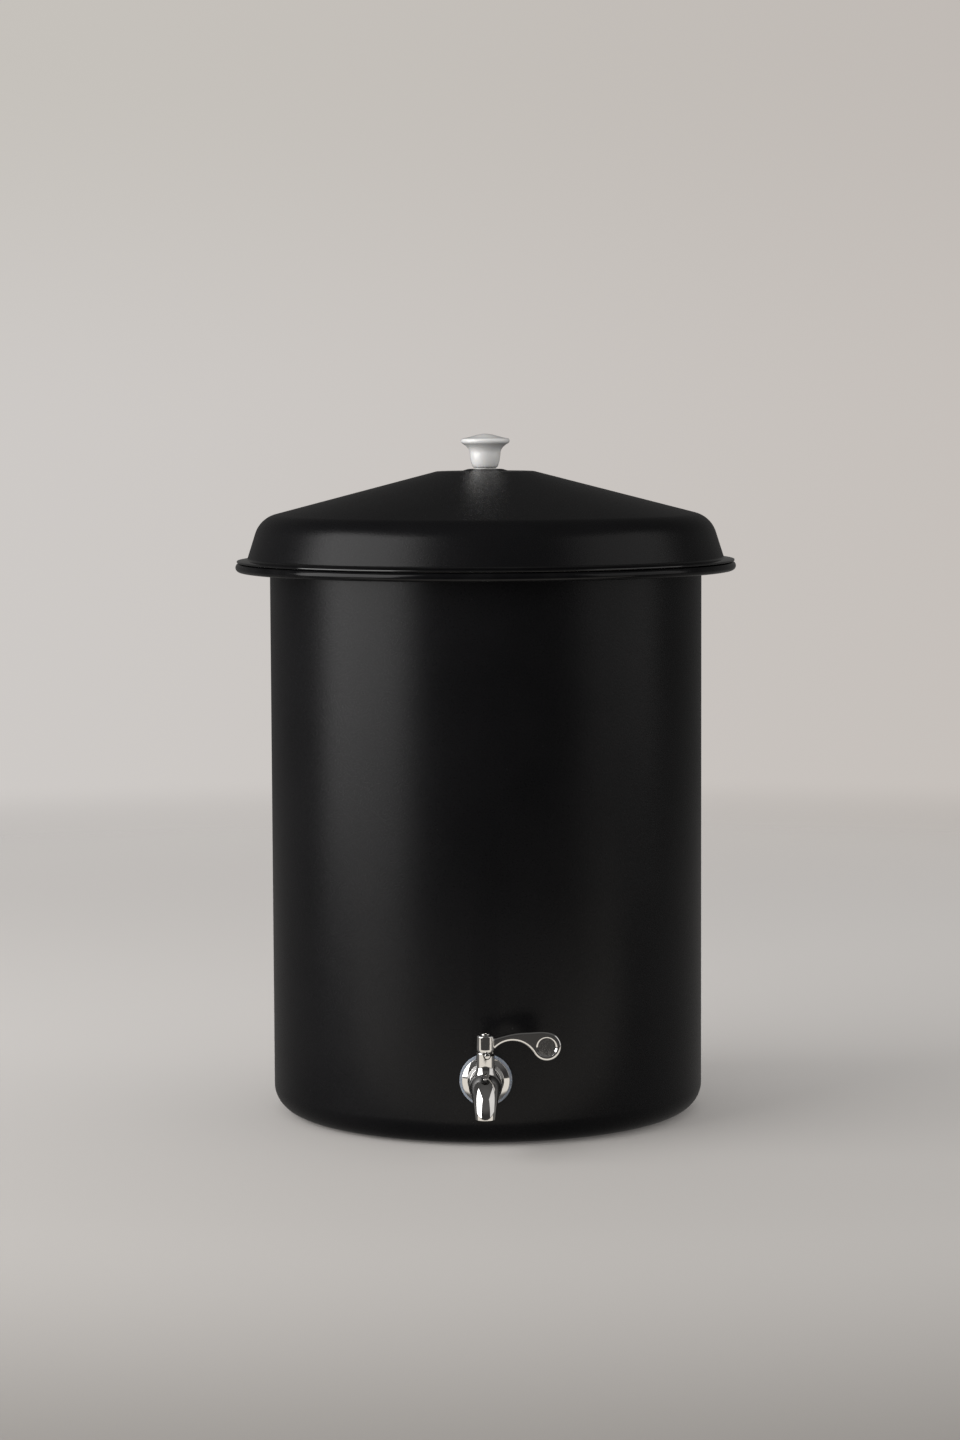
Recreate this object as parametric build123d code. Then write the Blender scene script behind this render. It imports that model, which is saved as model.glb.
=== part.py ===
"""Gravity water filter: a coated steel vessel with a lever tap, a clay filter pot hung in its mouth, and a lid.

Frame: millimetres, +Z up, origin on the floor under the vessel's axis. The tap faces -Y and its closed lever
points along +X. Every piece is its own solid in its own STEP file.
"""

from build123d import *
import math
import os

# ---- gaps ----
rest_gap = 0.2  # between a piece that lifts off and what it rests on
fit_gap = 0.03  # round a piece that is fixed in its hole
running_gap = 0.05  # round a piece that turns in its hole

# ---- vessel: drawn steel sheet with a rolled flange ----
vessel_radius = 152.0
vessel_height = 387.8
vessel_sheet = 1.2
base_corner_radius = 17.7
base_bead_inset = 48.0  # from the wall in to the bead's inner foot
base_bead_width = 6.0
base_bead_ramp = 6.0
base_bead_rise = 2.5
base_bead_bend = 5.0
flange_width = 24.2
flange_bend_radius = 4.0
bead_radius = 3.15
bead_wrap_angle = 235.0

# ---- lid: drawn steel sheet ----
lid_sheet = 1.2
brim_inset = 0.9
brim_slope_angle = 8.0
skirt_foot_out = 15.9
skirt_lean_angle = 17.7
shoulder_height = 31.1
shoulder_radius = 20.0
foot_bend_radius = 2.4
cone_slope_angle = 14.6
crown_flat_radius = 34.4
crown_ramp_radius = 17.5
crown_bend_radius = 6.0
seat_pad_radius = 12.0
seat_pad_rise = 1.6
sheet_edge_round = 0.5

# ---- knob and its fixings ----
knob_height = 23.8
knob_foot_radius = 7.3
knob_heel_width = 1.7
knob_heel_height = 1.2
knob_stem_radius = 10.8
knob_stem_height = 10.5
knob_cap_radius = 17.2
knob_cap_rim = 3.3
knob_cap_swell = 0.8
knob_cap_dome = 3.3
knob_washer_radius = 7.4
knob_washer_thickness = 0.8
insert_radius = 3.6
insert_length = 12.0
insert_recess = 1.0
insert_groove_count = 3
insert_groove_width = 1.0
insert_groove_depth = 0.4
knob_screw_radius = 2.0
knob_screw_grip = 11.0
knob_screw_point = 0.5
knob_screw_head_radius = 4.0
knob_screw_head_height = 2.6
driver_slot_width = 1.0
driver_slot_depth = 1.2
inner_washer_radius = 9.0
inner_washer_thickness = 1.0

# ---- filter unit: clay pot in a plastic ring ----
ring_floor = 2.0
ring_collar_drop = 12.0
ring_collar_wall = 2.2
ring_play = 0.6
ring_hem_height = 5.0
ring_hem_round = 0.7
pot_lip_gap = 0.3  # from the pot's lip to the ring's hem
pot_lip_height = 14.0
pot_lip_round = 5.0
pot_wall = 15.0
pot_floor = 16.0
pot_depth = 214.0
pot_foot_radius = 118.0
pot_foot_round = 9.0
pot_inner_round = 14.0
pot_neck_gap = 0.8
lid_to_ring_gap = 1.0

# ---- tap: shank through the vessel wall and its fixings ----
tap_height = 46.0
wall_hole_radius = 8.3
outer_seal_radius = 17.7
outer_seal_thickness = 1.6
tap_flange_radius = 16.0
tap_flange_thickness = 2.8
tap_flange_round = 1.1
thread_radius = 8.0
thread_pitch = 1.5
thread_depth = 0.6
shank_inside_length = 22.0
shank_bore_radius = 4.2
spigot_radius = 8.2
inner_seal_radius = 15.5
inner_seal_thickness = 2.4
steel_washer_radius = 14.5
steel_washer_thickness = 1.4
nut_across_flats = 23.0
nut_thickness = 7.0
nut_chamfer = 1.2
shank_seal_width = 1.2
shank_seal_thickness = 1.2

# ---- tap: casting with the boss, barrel, bulb, spout and neck ----
boss_radius = 12.5
boss_length = 3.2
barrel_radius = 10.5
bulb_reach = 24.0
bulb_radius = 11.2
elbow_bend_radius = 22.0
elbow_root_radius = 10.6
elbow_upper_radius = 9.3
elbow_lower_radius = 7.75
elbow_end_radius = 6.5
spout_tip_height = 28.4
spout_bore_radius = 4.2
neck_radius = 6.05
neck_top_height = 69.5
neck_top_chamfer = 0.4
neck_flare_bend = 11.0
stop_recess_radius = 4.6
stop_recess_depth = 2.5
vent_radius = 0.9
vent_reach = 7.0
vent_height = 10.0
vent_length = 6.0
vent_lean_angle = 50.0

# ---- tap: ball valve and stem ----
ball_radius = 7.0
ball_bore_radius = 3.5
cavity_radius = 7.35
seat_reach = 3.6
seat_length = 3.8
seat_bore_radius = 3.6
ball_flat_drop = 0.9
tang_width = 2.4
tang_depth = 1.6
stem_radius = 2.6
stem_collar_radius = 3.9
stem_collar_thickness = 1.2
stem_square = 3.6
stem_square_length = 6.0
thrust_washer_thickness = 0.6
stem_ring_section = 1.0
stem_ring_margin = 3.7  # from each end of the neck's bore to the middle of the ring there

# ---- tap: lever, its screw and the stop pin ----
hub_radius = 6.1
hub_height = 11.1
hub_chamfer = 0.8
hub_foot_chamfer = 0.4
stop_pin_radius = 1.9
stop_pin_proud = 1.2
stop_pin_angle = 12.0
stop_pin_sink_width = 0.7
stop_pin_sink_depth = 0.6
stop_gap = 0.2
stop_tab_angle = 66.0
lever_turn_angle = 90.0
blade_thickness = 4.2
blade_edge_round = 1.4
pad_reach = 40.8
pad_drop = 7.8
pad_radius = 9.6
crest_reach = 26.6
crest_rise = 1.8
root_drop = 2.9
arch_reach = 18.2
arch_top_drop = 4.1
arch_radius = 16.0
arch_leave_angle = 40.0
pad_under_angle = 211.0
pad_over_angle = 63.0
medallion_radius = 7.0
medallion_bevel = 1.1
medallion_depth = 0.5
lever_screw_radius = 1.5
lever_screw_length = 5.5
lever_screw_head_radius = 2.9
lever_screw_head_height = 0.9
lever_screw_hex = 2.0
lever_washer_radius = 3.6
lever_washer_thickness = 0.5

# ---- vessel, ring and lid levels worked out from the sizes above ----
vessel_bore_radius = vessel_radius - vessel_sheet
base_bead_radius = vessel_radius - base_bead_inset
bead_centre_radius = vessel_radius + flange_width - bead_radius
brim_radius = vessel_radius + flange_width - brim_inset
brim_slope = math.tan(math.radians(brim_slope_angle))
skirt_lean = math.tan(math.radians(skirt_lean_angle))
cone_slope = math.tan(math.radians(cone_slope_angle))
skirt_foot_radius = vessel_radius + skirt_foot_out
brim_tip_top = vessel_height + rest_gap + lid_sheet / math.cos(math.radians(brim_slope_angle))
skirt_foot_z = brim_tip_top + brim_slope * (brim_radius - skirt_foot_radius)
shoulder_z = vessel_height + shoulder_height
shoulder_corner_radius = skirt_foot_radius - skirt_lean * (shoulder_z - skirt_foot_z)
crown_top = shoulder_z + cone_slope * (shoulder_corner_radius - crown_flat_radius)
seat_pad_top = crown_top + seat_pad_rise
seat_pad_under = seat_pad_top - lid_sheet
knob_foot_z = seat_pad_top + knob_washer_thickness
ring_bottom = vessel_height + rest_gap
ring_top = ring_bottom + ring_floor
ring_collar_radius = vessel_bore_radius - ring_play
ring_bore_radius = ring_collar_radius - ring_collar_wall
pot_neck_radius = ring_bore_radius - pot_neck_gap
pot_top = ring_top + pot_lip_height
skirt_sheet_across = lid_sheet / math.cos(math.radians(skirt_lean_angle))
skirt_bore_at_pot_top = skirt_foot_radius - skirt_lean * (pot_top - skirt_foot_z) - skirt_sheet_across
ring_outer_radius = skirt_bore_at_pot_top - lid_to_ring_gap
pot_lip_radius = ring_outer_radius - ring_collar_wall - pot_lip_gap

# ---- tap levels worked out from the sizes above ----
flange_front = outer_seal_thickness + tap_flange_thickness
spigot_end = bulb_reach - seat_reach - seat_length
cavity_end = bulb_reach + seat_reach + seat_length
passage_radius = seat_bore_radius
spout_reach = bulb_reach + elbow_bend_radius
elbow_centre_z = tap_height - elbow_bend_radius
nut_back = -(vessel_sheet + inner_seal_thickness + steel_washer_thickness)
stem_y = -(vessel_radius + bulb_reach)
collar_pocket_top = tap_height + cavity_radius + stem_collar_thickness + thrust_washer_thickness
stem_collar_top = collar_pocket_top - thrust_washer_thickness
hub_bottom = neck_top_height + rest_gap
hub_top = hub_bottom + hub_height
stem_top = hub_top - lever_washer_thickness - running_gap
stem_square_low = stem_top - stem_square_length
stop_pin_root = (stem_radius + stop_recess_radius) / 2
stop_pin_z = neck_top_height - stop_pin_radius
stop_recess_floor = neck_top_height - stop_recess_depth
pad_z = hub_top - pad_drop
arch_z = hub_top - arch_top_drop - arch_radius
tap_plane = Plane(origin=(0, -vessel_radius, tap_height), x_dir=(1, 0, 0), z_dir=(0, -1, 0))


def turned(section):
    """Turns a flat section, drawn as radius and height, about the Z axis."""
    return revolve(Plane.XZ * section, Axis.Z)


def outline(points):
    """A flat face with straight sides."""
    return make_face(Polyline(*points, close=True))


def ring(outer, inner, low, high):
    """A plain ring about the Z axis."""
    return Pos(0, 0, low) * extrude(Circle(outer) - Circle(inner), high - low)


def rod(radius, low, high):
    """A plain cylinder about the Z axis."""
    return Pos(0, 0, low) * extrude(Circle(radius), high - low)


def along_tap(shape):
    """Moves a shape from Z, measured out from the vessel's wall, to the tap's horizontal axis."""
    return tap_plane * shape


def upright(shape):
    """Moves a shape that stands on the Z axis to the tap's stem axis."""
    return Pos(0, stem_y, 0) * shape


def offset_corners(points, distance):
    """Corners of the line that runs at a distance to the left of an open line."""
    corners = [Vector(*point) for point in points]
    steps = [(b - a).normalized() for a, b in zip(corners, corners[1:])]
    lefts = [Vector(-step.Y, step.X) * distance for step in steps]
    moved = [corners[0] + lefts[0]]
    for corner, before, after, left, next_left in zip(corners[1:], steps, steps[1:], lefts, lefts[1:]):
        cross = before.X * after.Y - before.Y * after.X
        gap = next_left - left
        along = (gap.X * after.Y - gap.Y * after.X) / cross
        moved.append(corner + left + before * along)
    moved.append(corners[-1] + lefts[-1])
    return [(point.X, point.Y) for point in moved]


def bent_sheet(points, radii, thickness):
    """A strip of sheet with one skin along the points and its thickness to the left (right if negative)."""
    far_radii = []
    for a, b, c, radius in zip(points, points[1:], points[2:], radii):
        turn = (b[0] - a[0]) * (c[1] - b[1]) - (b[1] - a[1]) * (c[0] - b[0])
        far_radii.append(radius - math.copysign(thickness, turn * thickness))
    far = offset_corners(points, thickness)
    skin = FilletPolyline(*points, radius=list(radii))
    far_skin = FilletPolyline(*far, radius=far_radii)
    ends = [Line(points[0], far[0]), Line(points[-1], far[-1])]
    return make_face(skin.edges() + far_skin.edges() + [end.edge() for end in ends])


def make_receptacle():
    """Drawn vessel: base with a stiffening bead, round corner, wall, flange, rolled rim and the tap's hole."""
    flange_under = vessel_height - vessel_sheet
    bead_top = base_bead_radius + base_bead_ramp
    skin = [
        (0, 0),
        (base_bead_radius, 0),
        (bead_top, base_bead_rise),
        (bead_top + base_bead_width, base_bead_rise),
        (bead_top + base_bead_width + base_bead_ramp, 0),
        (vessel_radius, 0),
        (vessel_radius, flange_under),
        (bead_centre_radius, flange_under),
    ]
    bends = [base_bead_bend] * 4 + [base_corner_radius, flange_bend_radius]
    pan = bent_sheet(skin, bends, vessel_sheet)
    curl_section = Circle(bead_radius) - Circle(bead_radius - vessel_sheet)
    reach = 2 * bead_radius
    steps = 4
    turns = [math.radians(90 - bead_wrap_angle * step / steps) for step in range(steps + 1)]
    fan = outline([(0, 0)] + [(reach * math.cos(turn), reach * math.sin(turn)) for turn in turns])
    bead = Pos(bead_centre_radius, vessel_height - bead_radius) * (curl_section & fan)
    hole = along_tap(rod(wall_hole_radius, -2 * wall_hole_radius, wall_hole_radius))
    return turned(pan + bead) - hole


def make_lid():
    """Drawn lid: sloping brim, leaning skirt, round shoulder, shallow cone and a raised pad under the knob."""
    skin = [
        (0, seat_pad_top),
        (seat_pad_radius, seat_pad_top),
        (crown_ramp_radius, crown_top),
        (crown_flat_radius, crown_top),
        (shoulder_corner_radius, shoulder_z),
        (skirt_foot_radius, skirt_foot_z),
        (brim_radius, brim_tip_top),
    ]
    bends = [crown_bend_radius, crown_bend_radius, crown_bend_radius, shoulder_radius, foot_bend_radius]
    section = bent_sheet(skin, bends, -lid_sheet)
    brim_edge = section.vertices().sort_by(Axis.X)[-2:]
    section = fillet(brim_edge, min(sheet_edge_round, lid_sheet / 2 - fit_gap))
    screw_hole = rod(knob_screw_radius + 2 * fit_gap, shoulder_z, knob_foot_z)
    return turned(section) - screw_hole


def make_lid_knob():
    """Glazed knob: narrow foot, flared stem and a wide domed cap, with a blind hole for its insert."""
    rim_high = knob_height - knob_cap_dome
    rim_low = rim_high - knob_cap_rim
    rim_middle = (rim_low + rim_high) / 2
    rim_corner = knob_cap_radius - knob_cap_swell
    foot = Line((0, 0), (knob_foot_radius, 0))
    heel = TangentArc(foot @ 1, (knob_foot_radius + knob_heel_width, knob_heel_height), tangent=(1, 0))
    stem = Spline(heel @ 1, (knob_stem_radius, knob_stem_height), tangents=[heel % 1, (0.05, 1)])
    cove = Spline(stem @ 1, (rim_corner, rim_low), tangents=[stem % 1, (1, 0.5)])
    rim = ThreePointArc(cove @ 1, (knob_cap_radius, rim_middle), (rim_corner, rim_high))
    dome = Spline(rim @ 1, (0, knob_height), tangents=[(-1, 0.12), (-1, 0)])
    axis_line = Line(dome @ 1, foot @ 0)
    body = turned(make_face([line.edge() for line in (foot, heel, stem, cove, rim, dome, axis_line)]))
    socket = rod(insert_radius + fit_gap, -1, insert_recess + insert_length + fit_gap)
    return Pos(0, 0, knob_foot_z) * (body - socket)


def make_knob_insert():
    """Brass bush cemented in the knob, grooved outside and tapped for the screw from below."""
    low = knob_foot_z + insert_recess
    bush = ring(insert_radius, knob_screw_radius + fit_gap, low, low + insert_length)
    for step in range(1, insert_groove_count + 1):
        middle = low + insert_length * step / (insert_groove_count + 1)
        half = insert_groove_width / 2
        bush -= ring(2 * insert_radius, insert_radius - insert_groove_depth, middle - half, middle + half)
    return bush


def make_knob_seat_washer():
    """Thin silicone washer that keeps the glazed knob off the lid."""
    return ring(knob_washer_radius, knob_screw_radius + 2 * fit_gap, seat_pad_top, knob_foot_z)


def make_knob_inner_washer():
    """Steel washer that spreads the screw's pull on the inside of the lid."""
    low = seat_pad_under - inner_washer_thickness
    return ring(inner_washer_radius, knob_screw_radius + 2 * fit_gap, low, seat_pad_under)


def make_knob_screw():
    """Pan head screw from inside the lid, with a driver slot."""
    under_head = seat_pad_under - inner_washer_thickness
    head_low = under_head - knob_screw_head_height
    shank = rod(knob_screw_radius, under_head, knob_foot_z + knob_screw_grip)
    shank = chamfer(shank.edges().sort_by(Axis.Z)[-1], knob_screw_point)
    head = rod(knob_screw_head_radius, head_low, under_head)
    head = fillet(head.edges().sort_by(Axis.Z)[0], knob_screw_head_height / 2)
    slot = Pos(0, 0, head_low) * Box(3 * knob_screw_head_radius, driver_slot_width, 2 * driver_slot_depth)
    return shank + head - slot


def make_filter_ring():
    """Plastic ring under and around the pot's lip, with a collar that centres it in the vessel's mouth."""
    hem_inner = ring_outer_radius - ring_collar_wall
    section = outline(
        [
            (ring_bore_radius, ring_bottom - ring_collar_drop),
            (ring_collar_radius, ring_bottom - ring_collar_drop),
            (ring_collar_radius, ring_bottom),
            (ring_outer_radius, ring_bottom),
            (ring_outer_radius, ring_top + ring_hem_height),
            (hem_inner, ring_top + ring_hem_height),
            (hem_inner, ring_top),
            (ring_bore_radius, ring_top),
        ]
    )
    hem = section.vertices().group_by(Axis.Y)[-1]
    return turned(fillet(hem, min(ring_hem_round, ring_collar_wall / 3)))


def make_filter_pot():
    """Fired clay pot: thick tapered wall and floor, with a heavy lip that rests in the ring."""
    pot_base = ring_top - pot_depth
    inner_foot = (pot_foot_radius - pot_wall, pot_base + pot_floor)
    section = outline(
        [
            (0, pot_base),
            (pot_foot_radius, pot_base),
            (pot_neck_radius, ring_top),
            (pot_lip_radius, ring_top),
            (pot_lip_radius, pot_top),
            (pot_neck_radius - pot_wall, pot_top),
            inner_foot,
            (0, pot_base + pot_floor),
        ]
    )
    lip = section.vertices().group_by(Axis.Y)[-1]
    section = fillet(lip, min(pot_lip_round, pot_lip_height / 3))
    foot = section.vertices().group_by(Axis.Y)[0].sort_by(Axis.X)[-1]
    section = fillet(foot, pot_foot_round)
    inner_corner = section.vertices().sort_by_distance((inner_foot[0], inner_foot[1], 0))[0]
    return turned(fillet(inner_corner, pot_inner_round))


def make_tap_outer_seal():
    """Clear silicone seal: flat to the tap's flange and hollowed to the round wall behind it."""
    blank = along_tap(ring(outer_seal_radius, thread_radius + fit_gap, -outer_seal_radius, outer_seal_thickness))
    return blank - rod(vessel_radius + fit_gap, 0, vessel_height)


def make_tap_inner_seal():
    """Silicone seal inside the vessel: domed to the wall, flat to the steel washer."""
    low = -(vessel_sheet + inner_seal_thickness)
    blank = along_tap(ring(inner_seal_radius, thread_radius + fit_gap, low, 0))
    return blank & rod(vessel_bore_radius - fit_gap, 0, vessel_height)


def make_tap_washer():
    """Steel washer between the inner seal and the nut."""
    high = nut_back + steel_washer_thickness
    return along_tap(ring(steel_washer_radius, thread_radius + fit_gap, nut_back, high))


def make_tap_nut():
    """Hexagon nut on the shank inside the vessel, with turned-down corners."""
    low = nut_back - nut_thickness
    corner_radius = nut_across_flats / math.sqrt(3)
    face_radius = corner_radius - nut_chamfer
    prism = extrude(RegularPolygon(corner_radius, 6) - Circle(thread_radius + fit_gap), nut_thickness)
    lathe = outline(
        [
            (0, low),
            (face_radius, low),
            (corner_radius, low + nut_chamfer / 2),
            (corner_radius, nut_back - nut_chamfer / 2),
            (face_radius, nut_back),
            (0, nut_back),
        ]
    )
    return along_tap((Pos(0, 0, low) * prism) & turned(lathe))


def make_tap_shank():
    """Turned piece: threaded tube through the wall, the polished flange and the spigot that holds the seat."""
    tail = -shank_inside_length
    root = thread_radius - thread_depth
    profile = [(shank_bore_radius, tail), (root, tail)]
    ridges = int(shank_inside_length / thread_pitch)
    for step in range(ridges):
        start = tail + step * thread_pitch
        profile.append((thread_radius, start + thread_pitch / 2))
        profile.append((root, start + thread_pitch))
    profile += [
        (root, outer_seal_thickness),
        (tap_flange_radius, outer_seal_thickness),
        (tap_flange_radius, flange_front),
        (spigot_radius, flange_front),
        (spigot_radius, spigot_end),
        (shank_bore_radius, spigot_end),
    ]
    section = outline(profile)
    rim = section.vertices().sort_by_distance((tap_flange_radius, flange_front, 0))[0]
    return along_tap(turned(fillet(rim, min(tap_flange_round, tap_flange_thickness / 2))))


def make_shank_seal():
    """Flat ring in a recess of the casting, pressed by the shank's flange."""
    outer = spigot_radius + shank_seal_width
    return along_tap(ring(outer, spigot_radius + fit_gap, flange_front, flange_front + shank_seal_thickness))


def make_valve_seat(side):
    """One soft seat, hollowed to the ball; side is -1 at the inlet and +1 at the spout."""
    near = bulb_reach + side * seat_reach
    far = near + side * seat_length
    blank = ring(cavity_radius - fit_gap, seat_bore_radius, min(near, far), max(near, far))
    return along_tap(blank - Pos(0, 0, bulb_reach) * Sphere(ball_radius + running_gap))


def make_valve_ball():
    """Ball with its bore along the lever, a flat on top and a slot across the bore for the stem's tang."""
    flat = ball_radius - ball_flat_drop
    ball = Sphere(ball_radius) - Rot(0, 90, 0) * Cylinder(ball_bore_radius, 3 * ball_radius)
    ball -= Pos(0, 0, flat + ball_radius) * Box(3 * ball_radius, 3 * ball_radius, 2 * ball_radius)
    slot_width = tang_width + 2 * running_gap
    ball -= Pos(0, 0, flat) * Box(slot_width, 3 * ball_radius, 2 * (tang_depth + running_gap))
    return upright(Pos(0, 0, tap_height) * ball)


def stem_ring_middles():
    """Middle heights of the two sealing rings on the stem, one near each end of the neck's bore."""
    return [collar_pocket_top + stem_ring_margin, neck_top_height - stem_ring_margin]


def make_valve_stem():
    """Stem from the ball's slot to the lever: tang, collar, two ring grooves, square end and a screw hole."""
    flat = tap_height + ball_radius - ball_flat_drop + running_gap
    collar_low = stem_collar_top - stem_collar_thickness
    tang = Pos(0, 0, flat - tang_depth) * extrude(Rectangle(tang_width, 2 * stem_radius), tang_depth)
    tang &= rod(stem_radius, flat - 2 * tang_depth, flat + tang_depth)
    foot = rod(stem_radius, flat, collar_low)
    collar = rod(stem_collar_radius, collar_low, stem_collar_top)
    shaft = rod(stem_radius, stem_collar_top, stem_square_low)
    groove_floor = stem_radius - stem_ring_section
    for middle in stem_ring_middles():
        half = stem_ring_section / 2 + fit_gap
        shaft -= ring(2 * stem_radius, groove_floor, middle - half, middle + half)
    square = Pos(0, 0, stem_square_low) * extrude(Rectangle(stem_square, stem_square), stem_square_length)
    hole = rod(lever_screw_radius + fit_gap, hub_top - lever_screw_length - fit_gap, hub_top)
    return upright(tang + foot + collar + shaft + square - hole)


def make_stem_rings():
    """Two rubber sealing rings in the stem's grooves."""
    rings = []
    for middle in stem_ring_middles():
        radius = stem_ring_section / 2
        section = Pos(stem_radius - radius + fit_gap, middle) * Circle(radius)
        rings.append(upright(turned(section)))
    return Compound(children=rings)


def make_thrust_washer():
    """Low friction washer between the stem's collar and the roof of its pocket."""
    low = stem_collar_top + fit_gap
    return upright(ring(stem_collar_radius, stem_radius + running_gap, low, collar_pocket_top))


def elbow_section(angle, radius):
    """A round section of the spout's bend, square to its centre line; the angle runs from forward to down."""
    turn = math.radians(angle)
    reach = vessel_radius + bulb_reach + elbow_bend_radius * math.sin(turn)
    height = elbow_centre_z + elbow_bend_radius * math.cos(turn)
    place = Plane(origin=(0, -reach, height), x_dir=(1, 0, 0), z_dir=(0, -math.cos(turn), -math.sin(turn)))
    return place * Circle(radius)


def make_spout():
    """Tapered elbow from the bulb down to the outlet, cut off level, so that it leans a little forward."""
    sections = [
        elbow_section(0, elbow_root_radius),
        elbow_section(30, elbow_upper_radius),
        elbow_section(60, elbow_lower_radius),
        elbow_section(90, elbow_end_radius),
    ]
    waste = Pos(0, -(vessel_radius + spout_reach), 0) * rod(elbow_bend_radius, 0, spout_tip_height)
    return loft(sections) - waste


def make_spout_bore():
    """Water way of the spout: a short straight run and the bend down through the outlet."""
    straight = along_tap(rod(passage_radius, spigot_end, cavity_end + passage_radius))
    first_angle = math.degrees(math.asin((cavity_end - bulb_reach) / elbow_bend_radius))
    outlet_y = -(vessel_radius + spout_reach)
    bend_axis = Axis((0, -(vessel_radius + bulb_reach), elbow_centre_z), (-1, 0, 0))
    bend = revolve(Pos(0, outlet_y, elbow_centre_z) * Circle(spout_bore_radius), bend_axis, 90 - first_angle)
    return straight + bend


def make_tap_body():
    """Polished casting: boss, barrel, round bulb, tapered spout and the neck that carries the stem."""
    boss = Pos(0, 0, flange_front + boss_length / 2) * Cone(boss_radius, barrel_radius, boss_length)
    barrel = rod(barrel_radius, flange_front, bulb_reach)
    bulb = Pos(0, 0, bulb_reach) * Sphere(bulb_radius)
    body = along_tap(boss + barrel + bulb) + make_spout() + upright(make_neck())
    body -= along_tap(rod(spigot_radius + fit_gap, 0, spigot_end))
    body -= along_tap(rod(spigot_radius + shank_seal_width + fit_gap, 0, flange_front + shank_seal_thickness))
    body -= along_tap(rod(cavity_radius, 0, cavity_end))
    body -= make_spout_bore()
    body -= upright(rod(stem_radius + running_gap, tap_height, neck_top_height + 1))
    body -= upright(rod(stem_collar_radius + running_gap, tap_height, collar_pocket_top))
    vent = Rot(vent_lean_angle, 0, 0) * rod(vent_radius, -vent_length, vent_length)
    body -= Pos(0, stem_y - vent_reach, tap_height + vent_height) * vent
    body -= stop_pin_shape(stop_pin_radius + fit_gap, stop_pin_root, 2 * neck_radius)
    sink_start = neck_radius - stop_pin_sink_depth
    return body - stop_pin_shape(stop_pin_radius + stop_pin_sink_width, sink_start, 2 * neck_radius)


def make_neck():
    """Neck that flares into the bulb, with a recess in its top where the lever's tab travels."""
    flare_reach = neck_radius + neck_flare_bend
    flare_rise = math.sqrt((bulb_radius + neck_flare_bend) ** 2 - flare_reach**2)
    flare_z = tap_height + flare_rise
    share = bulb_radius / (bulb_radius + neck_flare_bend)
    foot = (flare_reach * share, tap_height + flare_rise * share)
    half_turn = math.atan2(flare_rise, flare_reach) / 2
    middle_radius = flare_reach - neck_flare_bend * math.cos(half_turn)
    middle = (middle_radius, flare_z - neck_flare_bend * math.sin(half_turn))
    flare = ThreePointArc(foot, middle, (neck_radius, flare_z))
    side = Polyline((neck_radius, flare_z), (neck_radius, neck_top_height), (0, neck_top_height))
    core = Polyline((0, neck_top_height), (0, tap_height), (foot[0], tap_height), foot)
    neck = turned(make_face(flare.edges() + side.edges() + core.edges()))
    neck = chamfer(neck.edges().sort_by(Axis.Z)[-1], neck_top_chamfer)
    recess = ring(2 * neck_radius, stop_recess_radius, stop_recess_floor, neck_top_height + 1)
    travel = lever_turn_angle + stop_tab_angle
    return neck - (recess & sector(stop_pin_angle - 90, travel, stop_recess_floor, neck_top_height + 1))


def sector(start_angle, sweep, low, high):
    """A wedge about the Z axis, wide enough for the hub and the neck."""
    reach = 2 * hub_radius
    steps = 6
    turns = [math.radians(start_angle + sweep * step / steps) for step in range(steps + 1)]
    fan = outline([(0, 0)] + [(reach * math.cos(turn), reach * math.sin(turn)) for turn in turns])
    return Pos(0, 0, low) * extrude(fan, high - low)


def stop_pin_shape(radius, inner, outer):
    """A round bar laid in the top of the neck, pointing out a little to the right of the front."""
    length = outer - inner
    pin = Pos(0, -(inner + length / 2), stop_pin_z) * Rot(90, 0, 0) * Cylinder(radius, length)
    return upright(Rot(0, 0, stop_pin_angle) * pin)


def make_stop_pin():
    """Steel pin fixed in the neck, which stops the lever at closed and open."""
    pin = stop_pin_shape(stop_pin_radius, stop_pin_root, neck_radius + stop_pin_proud)
    return fillet(pin.edges().sort_by(Axis.Y)[0], stop_pin_radius / 3)


def make_stop_tab():
    """The part of the hub's foot that reaches down into the neck's recess and meets the pin when open."""
    low = stop_recess_floor + rest_gap
    high = hub_bottom + hub_foot_chamfer
    half = stop_pin_radius + stop_gap
    reach = 2 * hub_radius
    closed_end = stop_pin_angle - 90 + lever_turn_angle
    path = Rot(0, 0, closed_end) * Pos(reach / 2, 0, (low + high) / 2) * Box(reach, 2 * half, 2 * (high - low))
    skirt = ring(hub_radius, stop_recess_radius + rest_gap, low, high)
    wedge = sector(closed_end, stop_tab_angle, low, high)
    far_side = Rot(0, 0, closed_end + stop_tab_angle) * Pos(reach / 2, 0, (low + high) / 2)
    return (skirt & wedge) - path - far_side * Box(reach, 2 * stop_gap, 2 * (high - low))


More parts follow.
